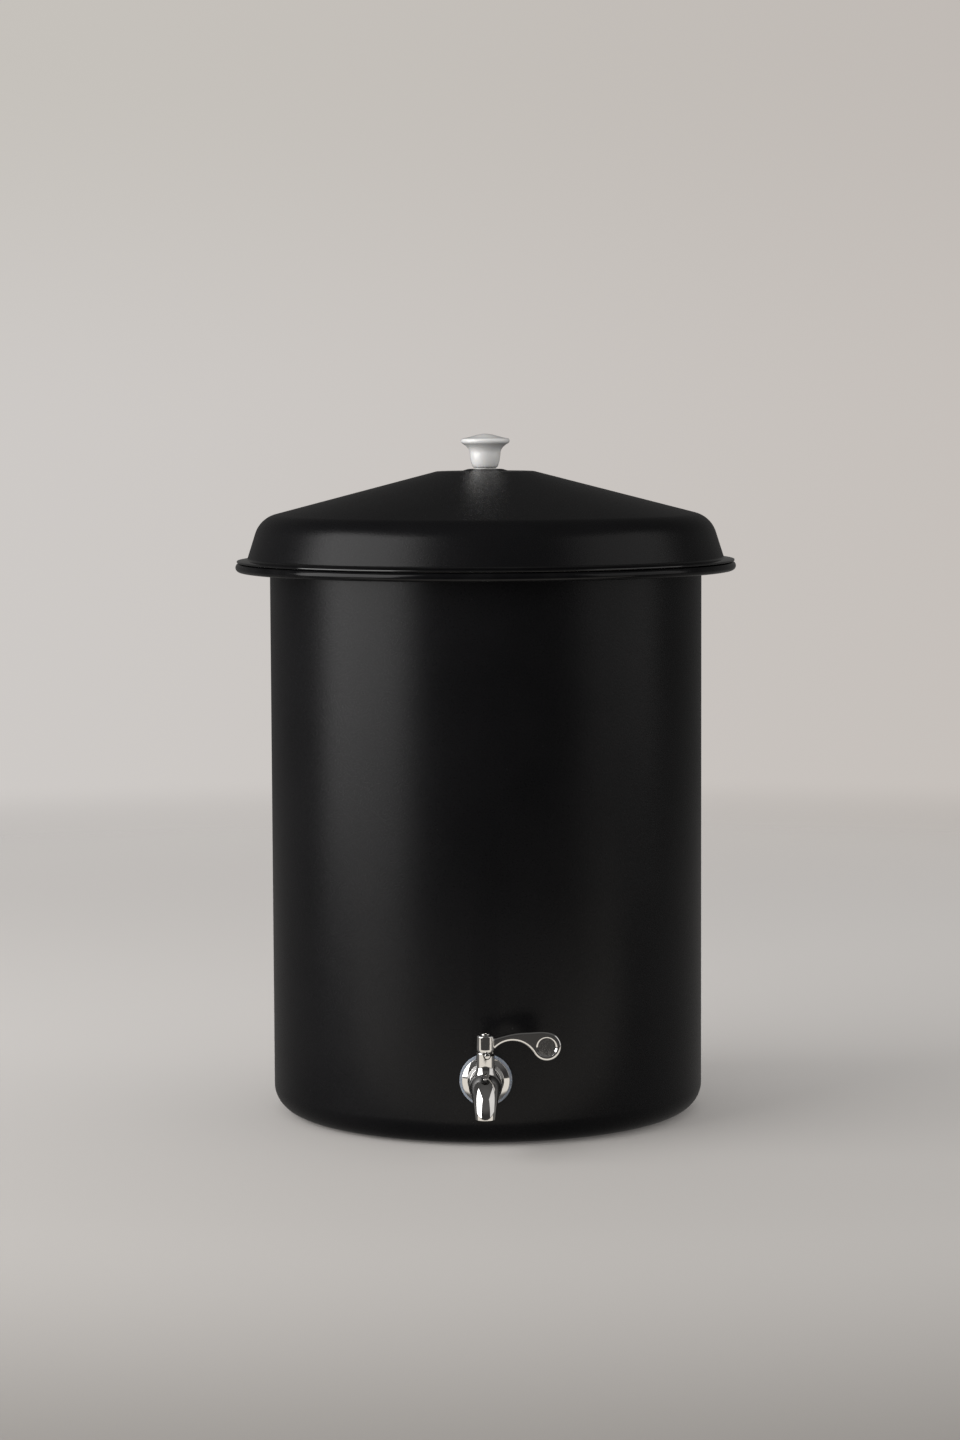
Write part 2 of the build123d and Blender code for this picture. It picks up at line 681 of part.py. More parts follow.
def blade_outline():
    """Side view of the lever's blade: a slim arched arm that swells into a round thumb pad."""
    root_x = (hub_radius + stem_radius) / 2
    foot_x = hub_radius + blade_edge_round / 2
    foot_z = arch_z + math.sqrt(arch_radius**2 - (arch_reach - foot_x) ** 2)
    leave = math.radians(90 - arch_leave_angle)
    under = math.radians(pad_under_angle)
    over = math.radians(pad_over_angle)
    arch_end = (arch_reach + arch_radius * math.cos(leave), arch_z + arch_radius * math.sin(leave))
    arch = ThreePointArc((foot_x, foot_z), (arch_reach, arch_z + arch_radius), arch_end)
    pad_low = (pad_reach + pad_radius * math.cos(under), pad_z + pad_radius * math.sin(under))
    pad_high = (pad_reach + pad_radius * math.cos(over), pad_z + pad_radius * math.sin(over))
    sweep_down = Spline(arch @ 1, pad_low, tangents=[arch % 1, (-math.sin(under), math.cos(under))])
    pad = ThreePointArc(pad_low, (pad_reach + pad_radius, pad_z), pad_high)
    root_high = (root_x, hub_top - root_drop)
    crest = (crest_reach, hub_top + crest_rise)
    top = Spline(pad_high, crest, root_high, tangents=[(-math.sin(over), math.cos(over)), (-1, -0.3)])
    back = Polyline(root_high, (root_x, foot_z), (foot_x, foot_z))
    return make_face(arch.edges() + sweep_down.edges() + pad.edges() + top.edges() + back.edges())


def make_tap_lever():
    """Lever casting: round hub on the stem and a flat upright blade, with a shallow plain medallion."""
    hub = rod(hub_radius, hub_bottom, hub_top)
    hub = chamfer(hub.edges().sort_by(Axis.Z)[-1], hub_chamfer)
    hub = chamfer(hub.edges().sort_by(Axis.Z)[0], hub_foot_chamfer) + make_stop_tab()
    side = Plane(origin=(0, blade_thickness / 2, 0), x_dir=(1, 0, 0), z_dir=(0, -1, 0))
    blade = extrude(side * blade_outline(), blade_thickness)
    rims = [edge for face in blade.faces().filter_by(Axis.Y) for edge in face.edges()]
    rims = [edge for edge in rims if edge.bounding_box().max.X > 2 * hub_radius]
    blade = fillet(rims, blade_edge_round)
    disc = Plane(origin=(pad_reach, (medallion_depth - blade_thickness) / 2, pad_z), z_dir=(0, 1, 0))
    blade -= disc * Cone(medallion_radius, medallion_radius - medallion_bevel, medallion_depth)
    lever = hub + blade
    lever -= rod(stem_radius + running_gap, hub_bottom, stem_square_low)
    square_side = stem_square + 2 * running_gap
    square = Pos(0, 0, stem_square_low) * extrude(Rectangle(square_side, square_side), stem_square_length)
    pocket = rod(lever_washer_radius + fit_gap, hub_top - lever_washer_thickness, hub_top + 1)
    screw_way = rod(stem_radius, stem_top - running_gap, hub_top)
    return upright(lever - square - pocket - screw_way)


def make_lever_washer():
    """Spring washer under the lever's screw."""
    low = hub_top - lever_washer_thickness
    return upright(ring(lever_washer_radius, lever_screw_radius + fit_gap, low, hub_top))


def make_lever_screw():
    """Low domed socket screw that clamps the lever on the stem."""
    shank = rod(lever_screw_radius, hub_top - lever_screw_length, hub_top)
    head_top = hub_top + lever_screw_head_height
    head = rod(lever_screw_head_radius, hub_top, head_top)
    head = fillet(head.edges().sort_by(Axis.Z)[-1], lever_screw_head_height * 2 / 3)
    socket = extrude(RegularPolygon(lever_screw_hex / math.sqrt(3), 6), 2 * lever_screw_head_height)
    return upright(shank + head - Pos(0, 0, hub_top - lever_washer_thickness) * socket)


parts = {
    "receptacle": make_receptacle(),
    "lid": make_lid(),
    "lid_knob": make_lid_knob(),
    "knob_insert": make_knob_insert(),
    "knob_seat_washer": make_knob_seat_washer(),
    "knob_inner_washer": make_knob_inner_washer(),
    "knob_screw": make_knob_screw(),
    "filter_ring": make_filter_ring(),
    "filter_pot": make_filter_pot(),
    "tap_outer_seal": make_tap_outer_seal(),
    "tap_inner_seal": make_tap_inner_seal(),
    "tap_washer": make_tap_washer(),
    "tap_nut": make_tap_nut(),
    "tap_shank": make_tap_shank(),
    "shank_seal": make_shank_seal(),
    "tap_body": make_tap_body(),
    "valve_seat_inlet": make_valve_seat(-1),
    "valve_seat_outlet": make_valve_seat(1),
    "valve_ball": make_valve_ball(),
    "valve_stem": make_valve_stem(),
    "stem_rings": make_stem_rings(),
    "stem_thrust_washer": make_thrust_washer(),
    "stop_pin": make_stop_pin(),
    "tap_lever": make_tap_lever(),
    "lever_washer": make_lever_washer(),
    "lever_screw": make_lever_screw(),
}

os.makedirs("parts", exist_ok=True)
for name, shape in parts.items():
    export_step(shape, f"parts/{name}.step")
    print(name, round(shape.volume, 1))
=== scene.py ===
import math

import bpy
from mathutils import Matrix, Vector


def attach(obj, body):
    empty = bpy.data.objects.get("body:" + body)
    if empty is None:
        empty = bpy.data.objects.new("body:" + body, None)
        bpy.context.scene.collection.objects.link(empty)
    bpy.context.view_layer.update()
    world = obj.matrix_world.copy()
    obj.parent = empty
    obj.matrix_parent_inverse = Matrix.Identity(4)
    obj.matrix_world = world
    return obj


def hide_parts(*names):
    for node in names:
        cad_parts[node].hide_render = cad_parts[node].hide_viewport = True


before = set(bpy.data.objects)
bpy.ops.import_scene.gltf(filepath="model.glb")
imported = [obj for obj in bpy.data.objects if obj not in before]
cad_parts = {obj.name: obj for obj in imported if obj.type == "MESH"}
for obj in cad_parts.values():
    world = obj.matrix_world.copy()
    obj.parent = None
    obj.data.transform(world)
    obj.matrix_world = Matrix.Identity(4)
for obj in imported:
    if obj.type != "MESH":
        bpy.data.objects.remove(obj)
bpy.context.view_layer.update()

# ---- The studio: camera, lamps, surroundings and the floor ------------------------------------------------
# A pale sweep behind the object, a tall softbox on the left, a much weaker one on the right, level light from
# all round, and a dark room on the camera's side. The floor melts into the sweep some way behind the object.
scene = bpy.context.scene
scene.view_settings.view_transform = "Standard"

look_down = 4.98
look_left = 0.6
head_tilt = 0.0046
lens = bpy.data.cameras.new("studio_camera")
lens.lens = 90.18
lens.sensor_width = 36.0
lens.clip_start = 0.1
lens.clip_end = 60.0
camera = bpy.data.objects.new("studio_camera", lens)
scene.collection.objects.link(camera)
camera.location = (0.0232, -2.5449, 0.4972)
camera.rotation_euler = (math.radians(90.0 - look_down), head_tilt, math.radians(look_left))
scene.camera = camera

lamp_level = 0.85
lamp_distance = 1.9
aim = Vector((0.0, 0.0, 0.25))


def softbox(name, azimuth, width, tall, radiance, colour):
    """A rectangular lamp at an azimuth from the camera's side, positive to the right, aimed at the object."""
    lamp = bpy.data.lights.new(name, "AREA")
    lamp.shape = "RECTANGLE"
    lamp.size, lamp.size_y = width, tall
    lamp.energy = radiance * math.pi * width * tall
    lamp.color = colour
    stand = bpy.data.objects.new(name, lamp)
    scene.collection.objects.link(stand)
    turn = math.radians(azimuth)
    place = Vector((lamp_distance * math.sin(turn), -lamp_distance * math.cos(turn), lamp_level))
    stand.location = place
    stand.rotation_euler = (aim - place).to_track_quat("-Z", "Y").to_euler()


softbox("left_softbox", azimuth=-65.0, width=2.0, tall=2.2, radiance=3.3, colour=(1.0, 0.99, 0.985))
softbox("right_softbox", azimuth=74.0, width=1.9, tall=1.8, radiance=0.65, colour=(1.0, 0.98, 0.96))


def faded(tree, source, start, end):
    """A soft step of a value from 0 to 1."""
    step = tree.nodes.new("ShaderNodeMapRange")
    step.interpolation_type = "SMOOTHSTEP"
    step.inputs["From Min"].default_value = start
    step.inputs["From Max"].default_value = end
    tree.links.new(source, step.inputs["Value"])
    return step.outputs["Result"]


def colour_in(tree, socket, colour):
    """Sets a colour socket to a plain colour, or links it to a mix of colours."""
    if isinstance(colour, tuple):
        socket.default_value = (*colour, 1.0)
    else:
        tree.links.new(colour, socket)


def blended(tree, factor, first, second):
    """A mix of two colours, either of which may be another mix."""
    mix = tree.nodes.new("ShaderNodeMix")
    mix.data_type = "RGBA"
    tree.links.new(factor, mix.inputs[0])
    for socket, colour in zip([socket for socket in mix.inputs if socket.type == "RGBA"], (first, second)):
        colour_in(tree, socket, colour)
    return [socket for socket in mix.outputs if socket.type == "RGBA"][0]


def one_or_other(tree, factor, first, second):
    """The first of two looks where the factor is 0, and the second where it is 1."""
    mix = tree.nodes.new("ShaderNodeMixShader")
    tree.links.new(factor, mix.inputs["Fac"])
    tree.links.new(first, mix.inputs[1])
    tree.links.new(second, mix.inputs[2])
    return mix.outputs[0]


def background(tree, colour):
    """Surroundings of one colour or of a mix of colours."""
    plain = tree.nodes.new("ShaderNodeBackground")
    colour_in(tree, plain.inputs["Color"], colour)
    return plain.outputs[0]


surroundings = bpy.data.worlds.new("surroundings")
scene.world = surroundings
surroundings.use_nodes = True
air = surroundings.node_tree
air.nodes.clear()
heading = air.nodes.new("ShaderNodeTexCoord")
split = air.nodes.new("ShaderNodeSeparateXYZ")
air.links.new(heading.outputs["Generated"], split.inputs[0])

# the dark room that polished steel mirrors, a little lighter behind the object
level = faded(air, split.outputs["Y"], -0.6, 0.8)
level_light = blended(air, level, (0.035, 0.034, 0.034), (0.1, 0.098, 0.096))
upper = faded(air, split.outputs["Y"], -0.4, 0.4)
upper_light = blended(air, upper, (0.09, 0.088, 0.086), (0.06, 0.059, 0.058))
overhead = faded(air, split.outputs["Z"], 0.1, 0.45)
room = background(air, blended(air, overhead, level_light, upper_light))

# the sweep that the camera sees, a little darker to the right and up
sideways = faded(air, split.outputs["X"], -0.2, 0.2)
low_sweep = blended(air, sideways, (0.617, 0.591, 0.571), (0.558, 0.521, 0.491))
high_sweep = blended(air, sideways, (0.565, 0.539, 0.503), (0.527, 0.491, 0.462))
above_horizon = faded(air, split.outputs["Z"], -0.01, 0.1)
sweep = background(air, blended(air, above_horizon, low_sweep, high_sweep))

fill = background(air, (0.6, 0.595, 0.59))
ray = air.nodes.new("ShaderNodeLightPath")
not_seen = one_or_other(air, ray.outputs["Is Diffuse Ray"], room, fill)
world_out = air.nodes.new("ShaderNodeOutputWorld")
air.links.new(one_or_other(air, ray.outputs["Is Camera Ray"], not_seen, sweep), world_out.inputs["Surface"])

bpy.ops.object.select_all(action="DESELECT")
bpy.ops.mesh.primitive_circle_add(vertices=96, radius=2.4, fill_type="NGON", location=(0.0, 0.0, -0.0004))
floor = bpy.context.object
floor.name = "studio_floor"
paper = bpy.data.materials.new("sweep_paper")
paper.use_nodes = True
tree = paper.node_tree
paper_surface = tree.nodes["Principled BSDF"]
paper_surface.inputs["Roughness"].default_value = 0.7
paper_surface.inputs["Specular IOR Level"].default_value = 0.2
spot = tree.nodes.new("ShaderNodeTexCoord")


def how_far(shift=(0.0, 0.0, 0.0), scale=(1.0, 1.0, 1.0)):
    """The distance of a spot on the floor from the middle of a round or oval patch."""
    fit = tree.nodes.new("ShaderNodeMapping")
    fit.inputs["Location"].default_value = shift
    fit.inputs["Scale"].default_value = scale
    tree.links.new(spot.outputs["Object"], fit.inputs["Vector"])
    reach = tree.nodes.new("ShaderNodeVectorMath")
    reach.operation = "LENGTH"
    tree.links.new(fit.outputs["Vector"], reach.inputs[0])
    return reach.outputs["Value"]


# the paper's colour is painted darker towards the camera, a painted shade of the light falling off there, and
# near the sweep it glows a little, for the camera alone
from_sweep = how_far(shift=(0.0, -0.9, 0.0))
near = faded(tree, from_sweep, 1.3, 2.0)
# painted shade: the paper's colour darkens away from the sweep, towards the camera
painted_shade_paper = blended(tree, near, (0.54, 0.52, 0.5), (0.25, 0.235, 0.22))
colour_in(tree, paper_surface.inputs["Base Color"], painted_shade_paper)
far = faded(tree, from_sweep, 0.7, 1.3)
glow = tree.nodes.new("ShaderNodeEmission")
colour_in(tree, glow.inputs["Color"], blended(tree, far, (0.12, 0.115, 0.112), (0.02, 0.018, 0.016)))
seen = tree.nodes.new("ShaderNodeLightPath")
tree.links.new(seen.outputs["Is Camera Ray"], glow.inputs["Strength"])
lit = tree.nodes.new("ShaderNodeAddShader")
tree.links.new(paper_surface.outputs[0], lit.inputs[0])
tree.links.new(glow.outputs[0], lit.inputs[1])

# what the steel and the coat mirror of the floor is a painted reflection: for glossy rays alone the floor
# glows, a bright oval before the tap, and dim paper round it
from_oval = how_far(shift=(0.0, 2.09, 0.0), scale=(1.1, 5.8, 1.0))
depth = tree.nodes.new("ShaderNodeSeparateXYZ")
tree.links.new(spot.outputs["Object"], depth.inputs[0])
behind = faded(tree, depth.outputs["Y"], -0.45, 0.1)
dim_reflection_glow = blended(tree, behind, (0.05, 0.048, 0.046), (0.16, 0.155, 0.15))
past_oval = faded(tree, from_oval, 0.92, 1.02)
# painted reflection: a glow that glossy rays see in place of the lit paper
reflection_glow = tree.nodes.new("ShaderNodeEmission")
colour_in(tree, reflection_glow.inputs["Color"], blended(tree, past_oval, (0.78, 0.735, 0.67), dim_reflection_glow))

tabletop = one_or_other(tree, seen.outputs["Is Glossy Ray"], lit.outputs[0], reflection_glow.outputs[0])
clear = tree.nodes.new("ShaderNodeBsdfTransparent")
melted = one_or_other(tree, faded(tree, how_far(), 0.9, 2.3), tabletop, clear.outputs[0])
tree.links.new(melted, tree.nodes["Material Output"].inputs["Surface"])
floor.data.materials.append(paper)

# ---- Receptacle -------------------------------------------------------------------------------------------
# One deep-drawn steel pan: flat base with a stiffening bead, straight wall, outward flange and a rolled rim.
# It carries a fine matt black powder coat inside and out, and the rolled rim is finished in gloss black.
mm = 0.001
wall_radius = 152.0
mouth_level = 387.8
sheet = 1.2
corner_radius = 17.7
bead_foot = 104.0
bead_ramp = 6.0
bead_width = 6.0
bead_rise = 2.5
bead_bend = 5.0
flange_level = mouth_level - sheet
flange_bend = 4.0
curl_radius = 3.15
curl_wrap = 235.0
curl_middle = (wall_radius + 21.03, mouth_level - curl_radius)
gloss_from = 168.5
wall_steps = 256
tap_level = 46.0
tap_hole_radius = 8.3


def arc(middle, start, bend, step=6.0):
    """Points of a flat arc from a start point about a middle; the bend is in radians, anticlockwise."""
    count = max(2, math.ceil(math.degrees(abs(bend)) / step))
    spoke = Vector(start) - Vector(middle)
    points = []
    for index in range(count + 1):
        swing = bend * index / count
        across = spoke.x * math.cos(swing) - spoke.y * math.sin(swing)
        up = spoke.x * math.sin(swing) + spoke.y * math.cos(swing)
        points.append((middle[0] + across, middle[1] + up))
    return points


def rounded(corners, radii, step=6.0):
    """An open line through flat corners, each inner one rounded with points every few degrees."""
    line = [corners[0]]
    for before, corner, after, radius in zip(corners, corners[1:], corners[2:], radii):
        way_in = (Vector(corner) - Vector(before)).normalized()
        way_out = (Vector(after) - Vector(corner)).normalized()
        bend = math.atan2(way_in.x * way_out.y - way_in.y * way_out.x, way_in.dot(way_out))
        start = Vector(corner) - way_in * radius * math.tan(abs(bend) / 2)
        middle = start + Vector((-way_in.y, way_in.x)) * math.copysign(radius, bend)
        line += arc(middle, start, bend, step)
    line.append(corners[-1])
    return line


def out(reach, across=0.0):
    """A point on the tap's level, given by its reach from the wall and its offset across."""
    return (across, -(wall_radius + reach), tap_level)


def pick(piece):
    """Makes one piece the only one selected, and the active one."""
    bpy.ops.object.select_all(action="DESELECT")
    piece.select_set(True)
    bpy.context.view_layer.objects.active = piece


def settle(piece, name):
    """Names a piece and moves its place, turn and size into its mesh."""
    piece.name = name
    piece.data.name = name
    pick(piece)
    bpy.ops.object.transform_apply(location=True, rotation=True, scale=True)
    return piece


def drawn(name, points):
    """A chain of edges through points in millimetres: one vertex, extruded from point to point."""
    bpy.ops.object.select_all(action="DESELECT")
    bpy.ops.mesh.primitive_plane_add(size=mm, location=Vector(points[0]) * mm)
    piece = bpy.context.object
    bpy.ops.object.mode_set(mode="EDIT")
    bpy.ops.mesh.select_all(action="SELECT")
    bpy.ops.mesh.merge(type="CENTER")
    for here, there in zip(points, points[1:]):
        step = (Vector(there) - Vector(here)) * mm
        bpy.ops.mesh.extrude_region_move(TRANSFORM_OT_translate={"value": step})
    bpy.ops.object.mode_set(mode="OBJECT")
    return settle(piece, name)


def spun(piece, steps, axis=(0, 0, 1), middle=(0, 0, 0), cup=False):
    """Spins a drawn section right round, welds its seams and points its faces outwards, as a cup's too."""
    pick(piece)
    bpy.ops.object.mode_set(mode="EDIT")
    bpy.ops.mesh.select_all(action="SELECT")
    bpy.ops.mesh.spin(steps=steps, angle=math.tau, center=Vector(middle) * mm, axis=axis)
    bpy.ops.mesh.select_all(action="SELECT")
    bpy.ops.mesh.remove_doubles(threshold=0.005 * mm)
    bpy.ops.mesh.normals_make_consistent(inside=cup)
    bpy.ops.object.mode_set(mode="OBJECT")
    return piece


def turned(name, section, steps=wall_steps, cup=False):
    """A section drawn as radius and height, spun about the upright axis of the vessel."""
    return spun(drawn(name, [(radius, 0.0, height) for radius, height in section]), steps, cup=cup)


def apply_all(piece):
    """Applies every modifier of a piece in turn."""
    pick(piece)
    for modifier in list(piece.modifiers):
        bpy.ops.object.modifier_apply(modifier=modifier.name)


def thicken(piece):
    """Gives a skin the sheet's thickness inwards."""
    wall = piece.modifiers.new("sheet", "SOLIDIFY")
    wall.thickness = sheet * mm
    wall.offset = -1.0
    wall.use_even_offset = True
    apply_all(piece)


def smooth(piece, angle=32.0):
    """Smooth shading that keeps the edges sharper than an angle."""
    pick(piece)
    bpy.ops.object.shade_smooth_by_angle(angle=math.radians(angle))


def cut_away(piece, *cutters):
    """Cuts shapes out of a piece and throws the cutters away."""
    for cutter in cutters:
        cut = piece.modifiers.new("cut", "BOOLEAN")
        cut.operation = "DIFFERENCE"
        cut.solver = "EXACT"
        cut.object = cutter
        apply_all(piece)
        bpy.data.objects.remove(cutter, do_unlink=True)


def bar(radius, start, end, sides=96):
    """A round bar between two points in millimetres."""
    bpy.ops.object.select_all(action="DESELECT")
    start, end = Vector(start), Vector(end)
    bpy.ops.mesh.primitive_cylinder_add(
        vertices=sides,
        radius=radius * mm,
        depth=(end - start).length * mm,
        location=(start + end) / 2 * mm,
        rotation=(end - start).to_track_quat("Z", "Y").to_euler(),
    )
    return settle(bpy.context.object, "bar")


def finish_of(name, colour, roughness, metallic=0.0):
    """A new material with its shader's main values; returns both."""
    finish = bpy.data.materials.new(name)
    finish.use_nodes = True
    shader = finish.node_tree.nodes["Principled BSDF"]
    shader.inputs["Base Color"].default_value = (*colour, 1.0)
    shader.inputs["Roughness"].default_value = roughness
    shader.inputs["Metallic"].default_value = metallic
    return finish, shader


def grain(finish, scale, detail=3.0, stretch=(1.0, 1.0, 1.0)):
    """Noise fixed to the piece; the scale is in features a metre."""
    tree = finish.node_tree
    spot = tree.nodes.new("ShaderNodeTexCoord")
    fit = tree.nodes.new("ShaderNodeMapping")
    fit.inputs["Scale"].default_value = stretch
    noise = tree.nodes.new("ShaderNodeTexNoise")
    noise.inputs["Scale"].default_value = scale
    noise.inputs["Detail"].default_value = detail
    noise.inputs["Roughness"].default_value = 0.55
    tree.links.new(spot.outputs["Object"], fit.inputs["Vector"])
    tree.links.new(fit.outputs["Vector"], noise.inputs["Vector"])
    return noise.outputs["Fac"]


def spread(finish, pattern, low, high, start=0.3, end=0.7):
    """Turns a pattern into values between low and high."""
    tree = finish.node_tree
    ramp = tree.nodes.new("ShaderNodeMapRange")
    ramp.inputs["From Min"].default_value = start
    ramp.inputs["From Max"].default_value = end
    ramp.inputs["To Min"].default_value = low
    ramp.inputs["To Max"].default_value = high
    tree.links.new(pattern, ramp.inputs["Value"])
    return ramp.outputs["Result"]


def tinted(finish, pattern, first, second, start=0.35, end=0.65):
    """Turns a pattern into a mix of two colours, either of which may be another mix."""
    return blended(finish.node_tree, spread(finish, pattern, 0.0, 1.0, start, end), first, second)


def worn(finish, shader, pattern, low, high):
    """Lets the roughness follow a pattern."""
    finish.node_tree.links.new(spread(finish, pattern, low, high), shader.inputs["Roughness"])


def relief(finish, shader, pattern, depth, strength, over=None):
    """A bump from a pattern, laid over another if one is given; the depth is in millimetres."""
    tree = finish.node_tree
    bump = tree.nodes.new("ShaderNodeBump")
    bump.inputs["Strength"].default_value = strength
    bump.inputs["Distance"].default_value = depth * mm
    tree.links.new(pattern, bump.inputs["Height"])
    if over is not None:
        tree.links.new(over, bump.inputs["Normal"])
    tree.links.new(bump.outputs["Normal"], shader.inputs["Normal"])
    return bump.outputs["Normal"]


def coloured(finish, shader, colour):
    """Gives a finish its colour, or its mix of colours."""
    colour_in(finish.node_tree, shader.inputs["Base Color"], colour)


def fine_skin(finish, shader, scale, tints, wear, depth, strength):
    """One fine grain that tints a finish, varies its roughness and raises its skin."""
    fine = grain(finish, scale)
    coloured(finish, shader, tinted(finish, fine, *tints))
    worn(finish, shader, fine, *wear)
    relief(finish, shader, fine, depth, strength)


def paint_faces(piece, finish, wanted):
    """Gives one more finish to the faces whose middle passes a test."""
    piece.data.materials.append(finish)
    number = len(piece.data.materials) - 1
    for face in piece.data.polygons:
        if wanted(face.center / mm):
            face.material_index = number


def stands_for(piece, body, slot, *nodes):
    """The piece rides on a body and stands for solids, which are hidden; the slot is not used."""
    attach(piece, body)
    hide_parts(*nodes)


# matt powder coat: fine orange peel, a faint cloudiness in its sheen and a few paler specks of dust
matt_black, coat = finish_of("matt_black_coat", (0.005, 0.005, 0.0055), 0.29)
coat.inputs["Specular IOR Level"].default_value = 0.21
peel = grain(matt_black, 1100.0, 4.0)
clouds = grain(matt_black, 12.0, 4.0)
dust = grain(matt_black, 420.0, 1.0)
coat_colour = tinted(matt_black, clouds, (0.0042, 0.0042, 0.0048), (0.006, 0.0059, 0.0066))
coloured(matt_black, coat, tinted(matt_black, dust, coat_colour, (0.03, 0.03, 0.032), 0.8, 0.86))
worn(matt_black, coat, peel, 0.26, 0.32)
relief(matt_black, coat, peel, 0.12, 0.75)


def black_enamel(name, roughness, sheen):
    """A deep black gloss enamel with very slight ripples."""
    enamelled, enamel = finish_of(name, (0.004, 0.004, 0.0045), roughness)
    enamel.inputs["Specular IOR Level"].default_value = sheen
    ripples = grain(enamelled, 60.0, 2.0)
    worn(enamelled, enamel, ripples, roughness * 0.8, roughness * 1.2)
    coloured(enamelled, enamel, tinted(enamelled, ripples, (0.0035, 0.0035, 0.004), (0.006, 0.006, 0.0065)))
    relief(enamelled, enamel, ripples, 0.05, 0.1)
    return enamelled


pan = rounded(
    [
        (0.0, 0.0),
        (bead_foot, 0.0),
        (bead_foot + bead_ramp, bead_rise),
        (bead_foot + bead_ramp + bead_width, bead_rise),
        (bead_foot + bead_ramp + bead_width + bead_ramp, 0.0),
        (wall_radius, 0.0),
        (wall_radius, flange_level),
        (curl_middle[0], flange_level),
    ],
    [bead_bend, bead_bend, bead_bend, bead_bend, corner_radius, flange_bend],
)
curl = arc(curl_middle, (curl_middle[0], flange_level), math.radians(-curl_wrap), 9.0)
receptacle = turned("receptacle_shell", pan + curl[1:], cup=True)
thicken(receptacle)
cut_away(receptacle, bar(tap_hole_radius, out(-12.0), out(13.0)))
smooth(receptacle)
receptacle.data.materials.append(matt_black)
paint_faces(
    receptacle,
    black_enamel("rolled_rim_enamel", 0.14, 0.22),
    lambda spot: spot.z > 380.0 and math.hypot(spot.x, spot.y) > gloss_from,
)
stands_for(receptacle, "vessel", "receptacle", "receptacle")

# ---- Tap outer seal ---------------------------------------------------------------------------------------
# A clear, faintly blue silicone washer between the tap's flange and the round wall.
# It is flat on the tap's side and hollowed to the wall on the other, and the shank's thread pulls it tight.
seal_bore = 8.05
seal_radius = 17.7
seal_front = 1.6
seal_root = -3.0


def turned_on_tap(name, section, steps=128):
    """A section drawn as reach from the wall and radius, spun about the tap's level axis."""
    chain = drawn(name, [out(reach, radius) for reach, radius in section])
    return spun(chain, steps, (0, 1, 0), (0, 0, tap_level))


silicone, jelly = finish_of("clear_blue_silicone", (0.44, 0.49, 0.57), 0.28)
jelly.inputs["Transmission Weight"].default_value = 0.35
jelly.inputs["IOR"].default_value = 1.41
jelly.inputs["Subsurface Weight"].default_value = 0.25
jelly.inputs["Subsurface Radius"].default_value = (0.002, 0.003, 0.004)
haze_tints = ((0.4, 0.45, 0.53), (0.48, 0.53, 0.61))
fine_skin(silicone, jelly, 260.0, haze_tints, wear=(0.24, 0.36), depth=0.05, strength=0.2)

seal_section = rounded(
    [(seal_root, seal_bore), (seal_front, seal_bore), (seal_front, seal_radius), (seal_root, seal_radius),
     (seal_root, seal_bore)],
    [0.05, 0.5, 0.05],
    20.0,
)
outer_seal = turned_on_tap("outer_silicone_seal", seal_section)
cut_away(outer_seal, bar(wall_radius + 0.03, (0, 0, 0), (0, 0, 100), 512))
smooth(outer_seal)
outer_seal.data.materials.append(silicone)
stands_for(outer_seal, "vessel", "clear_silicone", "tap_outer_seal")

# ---- Tap shank --------------------------------------------------------------------------------------------
# A turned stainless piece in one: threaded tube through the wall, polished round flange and plain spigot.
# The casting is pressed on the spigot, and the flange is its polished front plate.
shank_end = -22.0
shank_bore = 4.2
thread_crest = 8.0
thread_root = 7.4
thread_pitch = 1.5
thread_turns = 14
flange_radius = 16.0
flange_edge = 2.8
flange_front = 4.4
cone_foot = 12.4
spigot_radius = 8.2
spigot_end = 16.6

polished, bright = finish_of("mirror_polished_steel", (0.86, 0.85, 0.835), 0.05, 1.0)
buffing = grain(polished, 900.0, 5.0, (1.0, 1.0, 0.25))
wipe = grain(polished, 45.0)
coloured(polished, bright, tinted(polished, wipe, (0.84, 0.83, 0.815), (0.89, 0.88, 0.865)))
worn(polished, bright, buffing, 0.03, 0.075)
relief(polished, bright, buffing, 0.01, 0.12)

thread = [(shank_end, shank_bore), (shank_end, thread_root)]
for turn in range(thread_turns):
    thread += [
        (shank_end + thread_pitch * (turn + 0.5), thread_crest),
        (shank_end + thread_pitch * (turn + 1), thread_root),
    ]
flange = rounded(
    [(seal_front, thread_root), (seal_front, flange_radius), (flange_edge, flange_radius),
     (flange_front, cone_foot), (flange_front, spigot_radius)],
    [0.3, 0.3, 0.5],
    12.0,
)
spigot = [(spigot_end, spigot_radius), (spigot_end, shank_bore), (shank_end, shank_bore)]
shank = turned_on_tap("tap_shank_turned", thread + flange + spigot)
smooth(shank, 28.0)
shank.data.materials.append(polished)
stands_for(shank, "vessel", "polished_steel", "tap_shank")

# ---- Tap body ---------------------------------------------------------------------------------------------
# One polished stainless casting: coned boss, round barrel, ball-shaped housing, a spout that tapers as it
# bends down, and an upright neck for the lever's stem. Cast forms flow into each other, so they are fused
# and softened, and the water way, the pocket for the ball, the stem's bore and the vent are cut afterwards.
boss_radius = 12.5
boss_end = 7.6
barrel_radius = 10.5
housing = 24.0
housing_radius = 11.2
bend_radius = 22.0
bend_steps = 45
outlet_level = 28.4
outlet_y = -(wall_radius + housing + bend_radius)
stem_y = -(wall_radius + housing)
stem_bore = 2.65
neck_radius = 6.05
neck_top = 69.5
neck_chamfer = 0.4
flare_radius = 11.0
flare_level = 60.23
flare_foot = (8.58, 53.2)
flare_bend = 39.7


